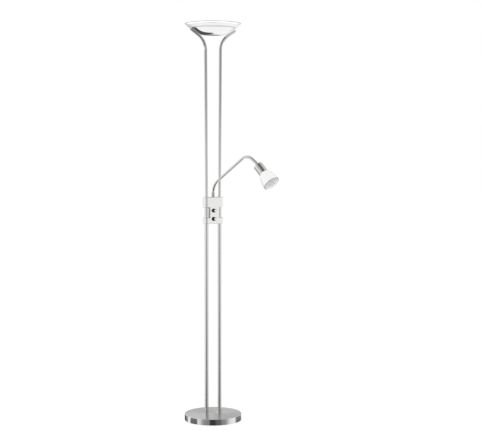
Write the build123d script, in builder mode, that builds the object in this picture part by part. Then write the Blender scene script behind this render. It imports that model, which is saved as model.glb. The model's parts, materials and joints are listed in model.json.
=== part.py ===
from build123d import *
from math import cos, radians, sin, tan
import os

# Torchiere floor lamp with a reading light. Millimetres, +Z up.
# The origin is on the floor, under the middle of the round base.
# The two tubes stand side by side along X, and the dimmer knobs face -Y.

# ---------------------------------------------------------------- driving dimensions
lamp_height = 1800.0

base_diameter = 260.0
base_height = 28.0
base_wall = 1.2
base_edge_round = 1.4
base_lift = 0.8
pad_diameter = 234.0
pad_thickness = 2.5
weight_thickness = 16.0
plateau_diameter = 120.0
foot_pocket_diameter = 26.0
foot_pocket_depth = 9.0
inlet_bore = 6.4
inlet_body = 9.0
inlet_flange = 12.0
inlet_flange_thickness = 1.6
inlet_height = 9.0

tube_spacing = 66.0
tube_wall = 1.0
lower_tube_diameter = 18.0
upper_tube_diameter = 14.0
foot_collar_diameter = 22.0
foot_collar_height = 3.5
foot_collar_edge_round = 0.8
foot_stud_diameter = 10.0
foot_stud_bore = 6.4
foot_insert_height = 32.0
foot_nut_flats = 17.0
foot_nut_height = 6.0
foot_washer_diameter = 22.0
foot_washer_thickness = 1.5

housing_bottom = 898.0
housing_lower_height = 28.0
housing_waist_height = 47.0
housing_upper_height = 46.0
housing_depth = 34.0
housing_waist_width = 44.0
housing_wall = 2.5
housing_edge_round = 1.8
back_cover_margin = 4.0
cover_screw_diameter = 3.0
cover_screw_length = 10.0
cover_screw_head = 5.6
cover_screw_head_height = 1.5
cover_screw_head_round = 0.5
cover_screw_slot_length = 3.4
cover_screw_slot_width = 0.8
cover_screw_slot_depth = 0.7
cover_boss_diameter = 6.4
cover_screw_inset = 8.0
set_screw_diameter = 4.0
set_screw_socket = 2.0
set_screw_inset = 14.0

reducer_skirt = 24.0
reducer_lip = 3.0
reducer_flange = 2.0
lower_tube_stop = 20.0

dimmer_x = -6.0
upper_dimmer_height = 61.0
lower_dimmer_height = 23.2
dimmer_body_size = 16.0
dimmer_body_depth = 8.0
dimmer_bush_diameter = 8.0
dimmer_bush_length = 4.5
dimmer_nut_flats = 11.0
dimmer_nut_height = 2.0
dimmer_shaft_diameter = 6.0
knob_base_diameter = 21.0
knob_end_diameter = 14.6
knob_length = 22.0
knob_edge_round = 0.8
knob_bore_depth = 15.0
dimmer_shaft_seat = 4.0
board_thickness = 1.6
terminal_height = 12.0
terminal_depth = 10.0
terminal_count = 4
terminal_pitch = 7.5
terminal_hole_diameter = 4.0
terminal_hole_depth = 5.0

arm_direction = -67.5
arm_diameter = 13.0
arm_wall = 1.0
arm_corner_height = 54.3
arm_rise_angle = 35.0
arm_rise_length = 243.6
arm_fall_angle = 35.0
arm_fall_length = 61.4
arm_neck_length = 16.0
arm_lower_bend = 68.0
arm_upper_bend = 45.0
arm_neck_bend = 60.0
arm_below_top = 16.0
bearing_flange_diameter = 18.0
bearing_flange_thickness = 1.0
bearing_diameter = 16.0
ferrule_base_diameter = 17.6
ferrule_tip_diameter = 15.6
ferrule_height = 20.8
ferrule_relief = 0.5
ferrule_seat_height = 11.4
arm_nut_flats = 19.0
arm_nut_height = 6.0
arm_washer_diameter = 20.0
arm_washer_thickness = 1.5

head_angle = 46.0
cup_diameter = 42.2
cup_length = 49.0
cup_wall = 1.2
cup_edge_round = 3.0
head_nut_flats = 18.0
head_nut_height = 4.5
holder_diameter = 27.0
holder_socket_depth = 30.0
holder_socket_diameter = 15.0
holder_past_cup = 8.0
holder_neck_depth = 4.5
arm_in_holder = 1.5
shade_ring_diameter = 37.0
shade_ring_height = 4.0
shade_hole_diameter = 28.6
shade_length = 61.5
shade_rim_diameter = 75.8
shade_wall = 3.0
# shares of the way from the cup to the rim, along the bell and out to its width
bell_shares = ((0.2, 0.455), (0.43, 0.7), (0.65, 0.845))
bulb_diameter = 25.0
bulb_reach = 29.0
bulb_cap_diameter = 13.6

flare_corner_drop = 24.4
flare_corner_spread = 4.4
flare_angle = 34.0
flare_bend = 82.0
flare_length = 87.5
splay_start = 10.0
splay_bend = 2500.0
tube_cap_thickness = 1.5
tube_cap_edge_round = 0.7
tube_cap_plug = 8.0

dish_below_bowl = 8.6
dish_radius = 105.0
dish_wall = 1.2
dish_bend = 105.0
rivet_diameter = 4.0
rivet_head_diameter = 7.5
rivet_head_height = 0.9
rivet_from_edge = 12.0
rivet_tail = 3.0

bowl_rim_radius = 130.5
bowl_rim_angle = 40.0
bowl_depth = 44.0
bowl_wall = 4.0
bowl_bend = 100.0
bowl_hole_diameter = 16.0
nipple_diameter = 10.0
nipple_bore = 6.4
nipple_head_diameter = 18.0
nipple_head_height = 1.0
gasket_diameter = 30.0
gasket_thickness = 2.0
spacer_diameter = 18.0
bracket_lift = 8.0
bracket_width = 24.0
bracket_thickness = 1.5
bracket_half_length = 74.0
bracket_ear_height = 22.0
bracket_bend = 1.3
bracket_nut_flats = 17.0
bracket_nut_height = 5.0
reflector_length = 108.0
reflector_floor_width = 34.0
reflector_wing = 16.0
reflector_wing_angle = 35.0
reflector_sheet = 0.8
lamp_holder_length = 12.0
lamp_holder_width = 20.0
lamp_holder_height = 22.0
lamp_holder_edge_round = 1.5
lamp_axis_height = 12.0
lamp_tube_diameter = 10.0
lamp_tube_end_round = 2.0
lamp_end_diameter = 7.0
lamp_end_length = 12.0
lamp_contact_depth = 3.0

# ---------------------------------------------------------------- clearances
tube_fit = 0.02
bore_clearance = 0.1
panel_clearance = 0.2
running_clearance = 0.05
swivel_gap = 0.3
screw_clearance = 0.05
weight_clearance = 1.0
dish_seat_clearance = 0.05
bowl_seat_clearance = 1.5
glass_clearance = 0.4
inlet_wall_clearance = 0.2
inlet_groove_clearance = 0.5
rivet_seat_clearance = 0.1
knob_gap = 0.5
knob_recess_clearance = 1.2
boss_clearance = 0.8
board_clearance = 2.5
stud_end_clearance = 1.2

# ---------------------------------------------------------------- worked out
base_radius = base_diameter / 2
base_ceiling = base_height - base_wall
weight_radius = base_radius - base_wall - weight_clearance
lead_groove_width = inlet_flange + 2 * inlet_groove_clearance
lead_groove_depth = inlet_height + inlet_flange / 2 + inlet_groove_clearance - pad_thickness
tube_x = tube_spacing / 2
lower_radius = lower_tube_diameter / 2
lower_bore = lower_radius - tube_wall
upper_radius = upper_tube_diameter / 2
upper_bore = upper_radius - tube_wall
sides = {"left": -1, "right": 1}

housing_lower_top = housing_bottom + housing_lower_height
housing_waist_top = housing_lower_top + housing_waist_height
housing_top = housing_waist_top + housing_upper_height
housing_front = -housing_depth / 2
housing_back = housing_depth / 2
housing_inner_front = housing_front + housing_wall
housing_inner_back = housing_back - housing_wall
cover_screw_heights = (housing_bottom + cover_screw_inset, housing_top - cover_screw_inset - housing_wall)
lower_tube_top = housing_top - lower_tube_stop
upper_tube_start = lower_tube_top - reducer_skirt + reducer_lip

arm_axis = Vector(cos(radians(arm_direction)), sin(radians(arm_direction)), 0)
up = Vector(0, 0, 1)
arm_plane = Plane(origin=(0, 0, 0), x_dir=arm_axis, z_dir=arm_axis.cross(up))
arm_radius = arm_diameter / 2
arm_corner = (0.0, housing_top + arm_corner_height)
arm_crest = (
    arm_corner[0] + arm_rise_length * cos(radians(arm_rise_angle)),
    arm_corner[1] + arm_rise_length * sin(radians(arm_rise_angle)),
)
arm_neck = (
    arm_crest[0] + arm_fall_length * cos(radians(arm_fall_angle)),
    arm_crest[1] - arm_fall_length * sin(radians(arm_fall_angle)),
)
drop_cos = cos(radians(head_angle))
drop_sin = sin(radians(head_angle))
cup_back = (arm_neck[0] + arm_neck_length * drop_cos, arm_neck[1] - arm_neck_length * drop_sin)
head_axis = arm_axis * drop_cos - up * drop_sin
head_side = arm_axis * drop_sin + up * drop_cos
head_origin = arm_plane.from_local_coords((cup_back[0], cup_back[1], 0))
head_plane = Plane(origin=head_origin, x_dir=head_side, z_dir=head_side.cross(head_axis))
head_line = Axis(head_origin, head_axis)
head_square = Plane(origin=head_origin, x_dir=head_side, z_dir=head_axis)
holder_start = cup_wall + head_nut_height
holder_end = cup_length + holder_past_cup
shade_ring_start = cup_length + shade_wall

bowl_floor = lamp_height - bowl_depth
dish_floor = bowl_floor - dish_below_bowl
flare_corner_height = dish_floor - flare_corner_drop
flare_corner_x = tube_x + flare_corner_spread
flare_cos = cos(radians(flare_angle))
flare_sin = sin(radians(flare_angle))
flare_tan = tan(radians(flare_angle))
dish_offset = upper_radius + dish_seat_clearance
dish_slope_height = flare_corner_height + dish_offset / flare_cos
dish_corner = flare_corner_x + (dish_floor - dish_slope_height) / flare_tan
dish_edge_height = dish_floor + (dish_radius - dish_corner) * flare_tan
rivet_radius = dish_radius - rivet_from_edge
rivet_height = dish_floor + (rivet_radius - dish_corner) * flare_tan
bowl_slope_height = dish_floor + (dish_wall + bowl_seat_clearance) / flare_cos
bowl_corner = dish_corner + (bowl_floor - bowl_slope_height) / flare_tan
rim_tan = tan(radians(bowl_rim_angle))
bowl_knee = (
    lamp_height - bowl_rim_radius * rim_tan - bowl_floor + bowl_corner * flare_tan
) / (flare_tan - rim_tan)
bowl_knee_height = bowl_floor + (bowl_knee - bowl_corner) * flare_tan
bracket_floor = bowl_floor + bowl_wall + gasket_thickness + bracket_lift
reflector_floor = bracket_floor + bracket_thickness
lamp_height_axis = reflector_floor + lamp_axis_height
lamp_holder_inner = bracket_half_length - bracket_thickness - lamp_holder_length
nut_floor = reflector_floor + reflector_sheet


# ---------------------------------------------------------------- base
with BuildPart() as base_cover:
    with BuildSketch(Plane.XY.offset(base_lift)):
        Circle(base_radius)
    extrude(amount=base_height - base_lift)
    fillet(base_cover.edges().group_by(Axis.Z)[-1], base_edge_round)
    with BuildSketch(Plane.XY.offset(base_lift)):
        Circle(base_radius - base_wall)
    extrude(amount=base_ceiling - base_lift, mode=Mode.SUBTRACT)
    with BuildSketch(Plane.XY.offset(base_lift)):
        with Locations((-tube_x, 0), (tube_x, 0)):
            Circle(foot_stud_diameter / 2 + bore_clearance)
    extrude(amount=base_height, mode=Mode.SUBTRACT)
    with BuildSketch(Plane.XZ.offset(-base_radius - base_wall)):
        with Locations((0, inlet_height)):
            Circle(inlet_body / 2)
    extrude(amount=base_radius, mode=Mode.SUBTRACT)
base_cover.part.label = "base_cover"

with BuildPart() as base_weight:
    with BuildSketch(Plane.XY.offset(pad_thickness)):
        Circle(weight_radius)
    extrude(amount=weight_thickness)
    with BuildSketch(Plane.XY.offset(pad_thickness)):
        Circle(plateau_diameter / 2)
    extrude(amount=base_ceiling - pad_thickness)
    with BuildSketch(Plane.XY.offset(pad_thickness)):
        with Locations((-tube_x, 0), (tube_x, 0)):
            Circle(foot_stud_diameter / 2 + bore_clearance)
    extrude(amount=base_height, mode=Mode.SUBTRACT)
    with BuildSketch(Plane.XY.offset(pad_thickness)):
        with Locations((-tube_x, 0), (tube_x, 0)):
            Circle(foot_pocket_diameter / 2)
    extrude(amount=foot_pocket_depth, mode=Mode.SUBTRACT)
    with BuildSketch(Plane.XY.offset(pad_thickness)):
        Rectangle(tube_spacing, lead_groove_width / 2)
    extrude(amount=foot_pocket_depth, mode=Mode.SUBTRACT)
    with BuildSketch(Plane.XY.offset(pad_thickness)):
        Rectangle(lead_groove_width, base_radius, align=(Align.CENTER, Align.MIN))
    extrude(amount=lead_groove_depth, mode=Mode.SUBTRACT)
base_weight.part.label = "base_weight"

with BuildPart() as base_pad:
    with BuildSketch():
        Circle(pad_diameter / 2)
    extrude(amount=pad_thickness)
base_pad.part.label = "base_pad"

with BuildPart() as cable_inlet:
    with BuildSketch(Plane.XZ.offset(-base_radius - inlet_flange_thickness)):
        with Locations((0, inlet_height)):
            Circle(inlet_flange / 2)
    extrude(amount=inlet_flange_thickness)
    with BuildSketch(Plane.XZ.offset(-base_radius)):
        with Locations((0, inlet_height)):
            Circle(inlet_body / 2 - screw_clearance)
    extrude(amount=base_wall + inlet_wall_clearance)
    with BuildSketch(Plane.XZ.offset(-base_radius + base_wall + inlet_wall_clearance)):
        with Locations((0, inlet_height)):
            Circle(inlet_flange / 2)
    extrude(amount=inlet_flange_thickness)
    with BuildSketch(Plane.XZ.offset(-base_radius - inlet_flange_thickness)):
        with Locations((0, inlet_height)):
            Circle(inlet_bore / 2)
    extrude(amount=inlet_flange, mode=Mode.SUBTRACT)
cable_inlet.part.label = "cable_inlet"

# ---------------------------------------------------------------- feet of the tubes
pocket_ceiling = pad_thickness + foot_pocket_depth
washer_floor = pocket_ceiling - foot_washer_thickness
foot_nut_floor = washer_floor - foot_nut_height

foot_pieces = []
for side_name, side in sides.items():
    with BuildPart() as foot_stud:
        with BuildSketch(Plane.XY.offset(pad_thickness + stud_end_clearance)):
            with Locations((side * tube_x, 0)):
                Circle(foot_stud_diameter / 2)
        extrude(amount=base_height - pad_thickness - stud_end_clearance)
        with BuildSketch(Plane.XY.offset(base_height)):
            with Locations((side * tube_x, 0)):
                Circle(lower_bore - tube_fit)
        extrude(amount=foot_insert_height)
        with BuildSketch(Plane.XY.offset(pad_thickness)):
            with Locations((side * tube_x, 0)):
                Circle(foot_stud_bore / 2)
        extrude(amount=base_height + foot_insert_height, mode=Mode.SUBTRACT)
    foot_stud.part.label = side_name + "_foot_stud"
    foot_pieces.append(foot_stud.part)

    with BuildPart() as foot_collar:
        with BuildSketch(Plane.XY.offset(base_height)):
            with Locations((side * tube_x, 0)):
                Circle(foot_collar_diameter / 2)
                Circle(lower_radius + tube_fit, mode=Mode.SUBTRACT)
        extrude(amount=foot_collar_height)
        collar_edge = foot_collar.edges().group_by(Axis.Z)[-1].sort_by(SortBy.LENGTH)[-1]
        fillet(collar_edge, foot_collar_edge_round)
    foot_collar.part.label = side_name + "_foot_collar"
    foot_pieces.append(foot_collar.part)

    with BuildPart() as lower_tube:
        with BuildSketch(Plane.XY.offset(base_height)):
            with Locations((side * tube_x, 0)):
                Circle(lower_radius)
                Circle(lower_bore, mode=Mode.SUBTRACT)
        extrude(amount=lower_tube_top - base_height)
    lower_tube.part.label = side_name + "_lower_tube"
    foot_pieces.append(lower_tube.part)

with BuildPart() as foot_washers:
    with BuildSketch(Plane.XY.offset(washer_floor)):
        with Locations((-tube_x, 0), (tube_x, 0)):
            Circle(foot_washer_diameter / 2)
            Circle(foot_stud_diameter / 2 + bore_clearance, mode=Mode.SUBTRACT)
    extrude(amount=foot_washer_thickness)
foot_washers.part.label = "foot_washers"

with BuildPart() as foot_nuts:
    with BuildSketch(Plane.XY.offset(foot_nut_floor)):
        with Locations((-tube_x, 0), (tube_x, 0)):
            RegularPolygon(foot_nut_flats / 2, 6, major_radius=False)
            Circle(foot_stud_diameter / 2 + tube_fit, mode=Mode.SUBTRACT)
    extrude(amount=foot_nut_height)
foot_nuts.part.label = "foot_nuts"

# ---------------------------------------------------------------- upper tubes
flare_end_x = flare_corner_x + flare_length * flare_cos
flare_end_height = flare_corner_height + flare_length * flare_sin

upper_pieces = []
for side_name, side in sides.items():
    with BuildPart() as reducer:
        with BuildSketch(Plane.XY.offset(lower_tube_top - reducer_skirt)):
            with Locations((side * tube_x, 0)):
                Circle(lower_bore - tube_fit)
        extrude(amount=reducer_skirt)
        with BuildSketch(Plane.XY.offset(lower_tube_top)):
            with Locations((side * tube_x, 0)):
                Circle(lower_radius)
        extrude(amount=reducer_flange)
        with BuildSketch(Plane.XY.offset(lower_tube_top - reducer_skirt)):
            with Locations((side * tube_x, 0)):
                Circle(upper_bore - tube_wall)
        extrude(amount=reducer_skirt, mode=Mode.SUBTRACT)
        with BuildSketch(Plane.XY.offset(upper_tube_start)):
            with Locations((side * tube_x, 0)):
                Circle(upper_radius + tube_fit)
        extrude(amount=reducer_skirt + reducer_flange, mode=Mode.SUBTRACT)
    reducer.part.label = side_name + "_reducer"
    upper_pieces.append(reducer.part)

    with BuildPart() as upper_tube:
        with BuildLine(Plane.XZ) as upper_path:
            FilletPolyline(
                (side * tube_x, upper_tube_start),
                (side * tube_x, housing_top + splay_start),
                (side * flare_corner_x, flare_corner_height),
                (side * flare_end_x, flare_end_height),
                radius=[splay_bend, flare_bend],
            )
        with BuildSketch(Plane(origin=upper_path.line @ 0, z_dir=upper_path.line % 0)):
            Circle(upper_radius)
            Circle(upper_bore, mode=Mode.SUBTRACT)
        sweep()
        rivet_plane = Plane(
            origin=(side * rivet_radius, 0, rivet_height),
            x_dir=(side * flare_cos, 0, flare_sin),
            z_dir=(-side * flare_sin, 0, flare_cos),
        )
        with BuildSketch(rivet_plane.offset(-rivet_tail)):
            Circle(rivet_diameter / 2 + screw_clearance)
        extrude(amount=rivet_tail, mode=Mode.SUBTRACT)
    upper_tube.part.label = side_name + "_upper_tube"
    upper_pieces.append(upper_tube.part)

    with BuildPart() as tube_cap:
        cap_plane = Plane(
            origin=(side * flare_end_x, 0, flare_end_height),
            x_dir=(0, 1, 0),
            z_dir=(side * flare_cos, 0, flare_sin),
        )
        with BuildSketch(cap_plane):
            Circle(upper_radius)
        extrude(amount=tube_cap_thickness)
        cap_end = tube_cap.faces().sort_by(Axis((0, 0, 0), cap_plane.z_dir))[-1]
        fillet(cap_end.edges(), tube_cap_edge_round)
        with BuildSketch(cap_plane.offset(-tube_cap_plug)):
            Circle(upper_bore - tube_fit)
        extrude(amount=tube_cap_plug)
    tube_cap.part.label = side_name + "_tube_cap"
    upper_pieces.append(tube_cap.part)

# ---------------------------------------------------------------- dimmer housing
opening_half_width = tube_x - back_cover_margin
opening_waist_width = housing_waist_width - 2 * housing_wall
opening_bottom = housing_bottom + back_cover_margin
opening_top = housing_top - back_cover_margin
opening_lower_top = housing_lower_top - back_cover_margin
opening_upper_bottom = housing_waist_top + back_cover_margin
cover_screw_x = opening_waist_width / 2 - cover_boss_diameter / 2 - boss_clearance
wall_pair = 2 * housing_wall

with BuildPart() as housing_body:
    for block_floor, block_height in (
        (housing_bottom, housing_lower_height),
        (housing_waist_top, housing_upper_height),
    ):
        with BuildSketch(Plane.XY.offset(block_floor)):
            SlotCenterToCenter(tube_spacing, housing_depth)
        extrude(amount=block_height)
    fillet(housing_body.edges().filter_by(Plane.XY), housing_edge_round)
    with BuildSketch(Plane.XY.offset(housing_lower_top - housing_wall)):
        Rectangle(housing_waist_width, housing_depth)
    extrude(amount=housing_waist_height + wall_pair)
    for block_floor, block_height in (
        (housing_bottom, housing_lower_height),
        (housing_waist_top, housing_upper_height),
    ):
        with BuildSketch(Plane.XY.offset(block_floor + housing_wall)):
            SlotCenterToCenter(tube_spacing, housing_depth - wall_pair)
        extrude(amount=block_height - wall_pair, mode=Mode.SUBTRACT)
    with BuildSketch(Plane.XY.offset(housing_lower_top - wall_pair)):
        Rectangle(opening_waist_width, housing_depth - wall_pair)
    extrude(amount=housing_waist_height + 2 * wall_pair, mode=Mode.SUBTRACT)
    # seats of the lower tubes, and the smaller holes for the upper tubes and the arm's bearing
    with BuildSketch(Plane.XY.offset(housing_bottom)):
        with Locations((-tube_x, 0), (tube_x, 0)):
            Circle(lower_radius + bore_clearance)
    extrude(amount=housing_waist_top + wall_pair - housing_bottom, mode=Mode.SUBTRACT)
    with BuildSketch(Plane.XY.offset(housing_top - wall_pair)):
        with Locations((-tube_x, 0), (tube_x, 0)):
            Circle(upper_radius + bore_clearance)
        Circle(bearing_diameter / 2)
    extrude(amount=wall_pair, mode=Mode.SUBTRACT)
    # I-shaped opening in the back
    with BuildSketch(Plane.XZ.offset(-housing_back)):
        with Locations((0, (opening_bottom + opening_lower_top) / 2)):
            Rectangle(2 * opening_half_width, opening_lower_top - opening_bottom)
        with Locations((0, (opening_upper_bottom + opening_top) / 2)):
            Rectangle(2 * opening_half_width, opening_top - opening_upper_bottom)
        with Locations((0, (opening_bottom + opening_top) / 2)):
            Rectangle(opening_waist_width, opening_top - opening_bottom)
    extrude(amount=wall_pair, mode=Mode.SUBTRACT)
    # bosses that the back cover is screwed to
    with BuildSketch(Plane.XZ.offset(-housing_inner_back)):
        for screw_height in cover_screw_heights:
            with Locations((-cover_screw_x, screw_height), (cover_screw_x, screw_height)):
                Circle(cover_boss_diameter / 2)
                Circle(cover_screw_diameter / 2 + screw_clearance, mode=Mode.SUBTRACT)
    extrude(amount=housing_inner_back - housing_inner_front)
    # holes for the dimmers' bushes, and tapped holes for the screws that clamp the tubes
    with BuildSketch(Plane.XZ.offset(-housing_inner_front)):
        with Locations(
            (dimmer_x, housing_bottom + upper_dimmer_height),
            (dimmer_x, housing_bottom + lower_dimmer_height),
        ):
            Circle(dimmer_bush_diameter / 2 + screw_clearance)
    extrude(amount=housing_wall, mode=Mode.SUBTRACT)
    with BuildSketch(Plane.XZ.offset(-housing_back)):
        with Locations(
            (-tube_x, housing_bottom + set_screw_inset),
            (tube_x, housing_bottom + set_screw_inset),
            (-tube_x, housing_waist_top + set_screw_inset),
            (tube_x, housing_waist_top + set_screw_inset),
        ):
            Circle(set_screw_diameter / 2 + screw_clearance)
    extrude(amount=wall_pair, mode=Mode.SUBTRACT)
housing_body.part.label = "housing_body"

with BuildPart() as housing_cover:
    with BuildSketch(Plane.XZ.offset(-housing_back)):
        with Locations((0, (opening_bottom + opening_lower_top) / 2)):
            Rectangle(
                2 * (opening_half_width - panel_clearance),
                opening_lower_top - opening_bottom - 2 * panel_clearance,
            )
        with Locations((0, (opening_upper_bottom + opening_top) / 2)):
            Rectangle(
                2 * (opening_half_width - panel_clearance),
                opening_top - opening_upper_bottom - 2 * panel_clearance,
            )
        with Locations((0, (opening_bottom + opening_top) / 2)):
            Rectangle(
                opening_waist_width - 2 * panel_clearance,
                opening_top - opening_bottom - 2 * panel_clearance,
            )
        for screw_height in cover_screw_heights:
            with Locations((-cover_screw_x, screw_height), (cover_screw_x, screw_height)):
                Circle(cover_screw_diameter / 2 + screw_clearance, mode=Mode.SUBTRACT)
    extrude(amount=housing_wall)
housing_cover.part.label = "housing_cover"

with BuildPart() as cover_screws:
    with BuildSketch(Plane.XZ.offset(-housing_back)):
        for screw_height in cover_screw_heights:
            with Locations((-cover_screw_x, screw_height), (cover_screw_x, screw_height)):
                Circle(cover_screw_diameter / 2)
    extrude(amount=cover_screw_length)
    with BuildSketch(Plane.XZ.offset(-housing_back)):
        for screw_height in cover_screw_heights:
            with Locations((-cover_screw_x, screw_height), (cover_screw_x, screw_height)):
                Circle(cover_screw_head / 2)
    extrude(amount=-cover_screw_head_height)
    fillet(cover_screws.faces().group_by(Axis.Y)[-1].edges(), cover_screw_head_round)
    with BuildSketch(Plane.XZ.offset(-housing_back - cover_screw_head_height)):
        for screw_height in cover_screw_heights:
            with Locations((-cover_screw_x, screw_height), (cover_screw_x, screw_height)):
                Rectangle(cover_screw_slot_length, cover_screw_slot_width)
                Rectangle(cover_screw_slot_width, cover_screw_slot_length)
    extrude(amount=cover_screw_slot_depth, mode=Mode.SUBTRACT)
cover_screws.part.label = "cover_screws"

with BuildPart() as tube_set_screws:
    with BuildSketch(Plane.XZ.offset(-housing_back + screw_clearance)):
        with Locations(
            (-tube_x, housing_bottom + set_screw_inset),
            (tube_x, housing_bottom + set_screw_inset),
            (-tube_x, housing_waist_top + set_screw_inset),
            (tube_x, housing_waist_top + set_screw_inset),
        ):
            Circle(set_screw_diameter / 2)
            RegularPolygon(set_screw_socket / 2, 6, major_radius=False, mode=Mode.SUBTRACT)
    extrude(amount=housing_back - screw_clearance - lower_radius - screw_clearance)
tube_set_screws.part.label = "tube_set_screws"

# ---------------------------------------------------------------- dimmers and their knobs
dimmer_levels = {
    "upper": housing_bottom + upper_dimmer_height,
    "lower": housing_bottom + lower_dimmer_height,
}
bush_end = housing_inner_front - housing_wall - dimmer_bush_length
knob_back = housing_front - knob_gap
knob_front = knob_back - knob_length
shaft_end = knob_back - knob_bore_depth + knob_gap
shaft_start = housing_inner_front + dimmer_shaft_seat
knob_recess_depth = dimmer_bush_length - knob_gap + knob_recess_clearance
knob_recess_diameter = dimmer_nut_flats / cos(radians(30)) + knob_recess_clearance

dimmer_pieces = []
for level_name, level in dimmer_levels.items():
    with BuildPart() as dimmer:
        with BuildSketch(Plane.XZ.offset(-housing_inner_front - dimmer_body_depth)):
            with Locations((dimmer_x, level)):
                Rectangle(dimmer_body_size, dimmer_body_size)
        extrude(amount=dimmer_body_depth)
        with BuildSketch(Plane.XZ.offset(-housing_inner_front)):
            with Locations((dimmer_x, level)):
                Circle(dimmer_bush_diameter / 2)
        extrude(amount=housing_inner_front - bush_end)
        with BuildSketch(Plane.XZ.offset(-shaft_start)):
            with Locations((dimmer_x, level)):
                Circle(dimmer_shaft_diameter / 2 + running_clearance)
        extrude(amount=shaft_start - bush_end, mode=Mode.SUBTRACT)
    dimmer.part.label = level_name + "_dimmer"
    dimmer_pieces.append(dimmer.part)

    with BuildPart() as dimmer_shaft:
        with BuildSketch(Plane.XZ.offset(-shaft_start + swivel_gap)):
            with Locations((dimmer_x, level)):
                Circle(dimmer_shaft_diameter / 2)
        extrude(amount=shaft_start - swivel_gap - shaft_end)
    dimmer_shaft.part.label = level_name + "_dimmer_shaft"
    dimmer_pieces.append(dimmer_shaft.part)

    with BuildPart() as knob:
        with BuildSketch(Plane.XZ.offset(-knob_back)):
            with Locations((dimmer_x, level)):
                Circle(knob_base_diameter / 2)
        with BuildSketch(Plane.XZ.offset(-knob_front)):
            with Locations((dimmer_x, level)):
                Circle(knob_end_diameter / 2)
        loft()
        fillet(knob.faces().sort_by(Axis.Y)[0].edges(), knob_edge_round)
        with BuildSketch(Plane.XZ.offset(-knob_back)):
            with Locations((dimmer_x, level)):
                Circle(knob_recess_diameter / 2)
        extrude(amount=knob_recess_depth, mode=Mode.SUBTRACT)
        with BuildSketch(Plane.XZ.offset(-knob_back)):
            with Locations((dimmer_x, level)):
                Circle(dimmer_shaft_diameter / 2 + tube_fit)
        extrude(amount=knob_bore_depth, mode=Mode.SUBTRACT)
    knob.part.label = level_name + "_knob"
    dimmer_pieces.append(knob.part)

with BuildPart() as dimmer_nuts:
    with BuildSketch(Plane.XZ.offset(-housing_front)):
        for level in dimmer_levels.values():
            with Locations((dimmer_x, level)):
                RegularPolygon(dimmer_nut_flats / 2, 6, major_radius=False)
                Circle(dimmer_bush_diameter / 2 + tube_fit, mode=Mode.SUBTRACT)
    extrude(amount=dimmer_nut_height)
dimmer_nuts.part.label = "dimmer_nuts"

board_front = housing_inner_front + dimmer_body_depth
board_bottom = cover_screw_heights[0] + cover_boss_diameter / 2 + boss_clearance
board_top = dimmer_levels["upper"] + dimmer_body_size / 2 + boss_clearance
board_middle = (board_bottom + board_top) / 2
with BuildPart() as dimmer_board:
    with BuildSketch(Plane.XZ.offset(-board_front - board_thickness)):
        with Locations((0, board_middle)):
            Rectangle(opening_waist_width - 2 * board_clearance, board_top - board_bottom)
    extrude(amount=board_thickness)
dimmer_board.part.label = "dimmer_board"

with BuildPart() as terminal_block:
    with BuildSketch(Plane.XZ.offset(-board_front - board_thickness - terminal_depth)):
        with Locations((0, board_middle)):
            Rectangle(terminal_count * terminal_pitch, terminal_height)
    extrude(amount=terminal_depth)
    with BuildSketch(Plane.XZ.offset(-board_front - board_thickness - terminal_depth)):
        with Locations((0, board_middle)):
            with GridLocations(terminal_pitch, terminal_height, terminal_count, 1):
                Circle(terminal_hole_diameter / 2)
    extrude(amount=terminal_hole_depth, mode=Mode.SUBTRACT)
terminal_block.part.label = "terminal_block"

# ---------------------------------------------------------------- swivel and arm of the reading light
ferrule_floor = housing_top + bearing_flange_thickness + swivel_gap
washer_top = housing_top - housing_wall - swivel_gap
arm_nut_floor = washer_top - arm_washer_thickness - arm_nut_height

with BuildPart() as arm_bearing:
    with BuildSketch(Plane.XY.offset(housing_top - housing_wall)):
        Circle(bearing_diameter / 2 - tube_fit)
    extrude(amount=housing_wall)
    with BuildSketch(Plane.XY.offset(housing_top)):
        Circle(bearing_flange_diameter / 2)
    extrude(amount=bearing_flange_thickness)
    with BuildSketch(Plane.XY.offset(housing_top - housing_wall)):
        Circle(arm_radius + running_clearance)
    extrude(amount=housing_wall + bearing_flange_thickness, mode=Mode.SUBTRACT)
arm_bearing.part.label = "arm_bearing"

with BuildPart() as arm_ferrule:
    with BuildSketch(Plane.XY.offset(ferrule_floor)):
        Circle(ferrule_base_diameter / 2)
    with BuildSketch(Plane.XY.offset(ferrule_floor + ferrule_height)):
        Circle(ferrule_tip_diameter / 2)
    loft()
    with BuildSketch(Plane.XY.offset(ferrule_floor)):
        Circle(arm_radius + tube_fit)
    extrude(amount=ferrule_height, mode=Mode.SUBTRACT)
    with BuildSketch(Plane.XY.offset(ferrule_floor + ferrule_seat_height)):
        Circle(arm_radius + ferrule_relief)
    extrude(amount=ferrule_height, mode=Mode.SUBTRACT)
arm_ferrule.part.label = "arm_ferrule"

with BuildPart() as arm_washer:
    with BuildSketch(Plane.XY.offset(washer_top - arm_washer_thickness)):
        Circle(arm_washer_diameter / 2)
        Circle(arm_radius + bore_clearance, mode=Mode.SUBTRACT)
    extrude(amount=arm_washer_thickness)
arm_washer.part.label = "arm_washer"

with BuildPart() as arm_nut:
    with BuildSketch(Plane.XY.offset(arm_nut_floor)):
        RegularPolygon(arm_nut_flats / 2, 6, major_radius=False)
        Circle(arm_radius + tube_fit, mode=Mode.SUBTRACT)
    extrude(amount=arm_nut_height)
arm_nut.part.label = "arm_nut"

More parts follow.
